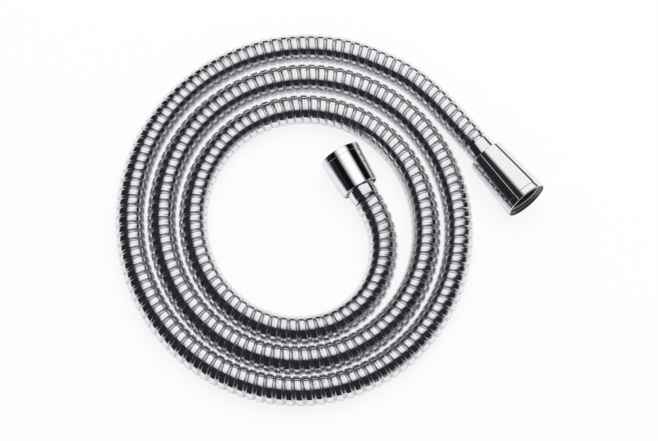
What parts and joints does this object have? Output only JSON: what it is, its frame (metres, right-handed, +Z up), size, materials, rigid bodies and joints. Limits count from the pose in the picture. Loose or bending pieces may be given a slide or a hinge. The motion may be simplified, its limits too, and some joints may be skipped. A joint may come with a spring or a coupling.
{
  "type": "shower hose",
  "caption": "Flexible chromed metal shower hose lying in a loose flat coil, with a conical swivel nut on its outer end and a tapered swivel nut on its inner end.",
  "frame": {"origin": "on the floor under the middle of the box of the coiled hose", "axes": "+Z up from the floor, +X the long way of the box, towards the end with the conical nut, +Y away from the viewer of the picture"},
  "size_m": [0.2296, 0.2092, 0.0245],
  "materials": {
    "armour": "polished, with fine drawing lines along the strip",
    "nut": "mirror polished",
    "ferrule": "polished",
    "tail": "turned",
    "washer": "matt",
    "inner_hose": "matt"
  },
  "bodies": {
    "hose": {"armour": "armour", "inner_hose": "inner_hose", "cone_tail": "tail", "cone_ferrule": "ferrule", "tap_tail": "tail", "tap_ferrule": "ferrule"},
    "cone_nut": {"cone_nut": "nut", "cone_washer": "washer"},
    "tap_nut": {"tap_nut": "nut", "tap_washer": "washer"}
  },
  "joints": [
    {"name": "cone_nut_spin", "type": "hinge", "parent": "hose", "child": "cone_nut", "pos_m": [0.10554, 0.00613, 0.01239], "axis": [0.6128, -0.7878, 0.0618], "continuous": true},
    {"name": "tap_nut_spin", "type": "hinge", "parent": "hose", "child": "tap_nut", "pos_m": [0.00533, 0.03329, 0.01167], "axis": [-0.5018, 0.8631, 0.0567], "continuous": true}
  ]
}
